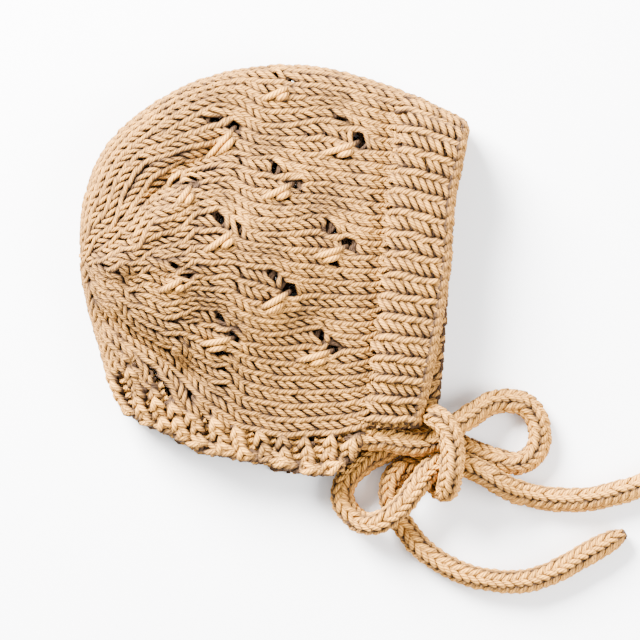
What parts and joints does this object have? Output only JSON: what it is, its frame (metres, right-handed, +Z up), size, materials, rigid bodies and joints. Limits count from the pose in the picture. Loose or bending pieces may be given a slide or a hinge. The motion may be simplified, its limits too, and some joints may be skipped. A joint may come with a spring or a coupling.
{
  "type": "knitted baby bonnet",
  "caption": "Knitted baby bonnet lying flat on its side, with lace eyelets, a ribbed brim, a ribbed neck band and two knitted cord ties in a bow.",
  "frame": {"origin": "middle of the bonnet's outline on the surface that it lies on, ties left out", "axes": "+X toward the face opening, +Y toward the top fold, +Z up from the surface, through both layers"},
  "size_m": [0.2499, 0.2122, 0.0371],
  "materials": {
    "crown_shell": "knitted wool, stocking stitch",
    "brim_band": "knitted wool, rib",
    "neck_band": "knitted wool, rib",
    "tie_upper": "knitted wool cord",
    "tie_lower": "knitted wool cord"
  },
  "bodies": {
    "root": {"crown_shell": "crown_shell", "brim_band": "brim_band", "neck_band": "neck_band", "tie_upper": "tie_upper", "tie_lower": "tie_lower"}
  },
  "joints": []
}
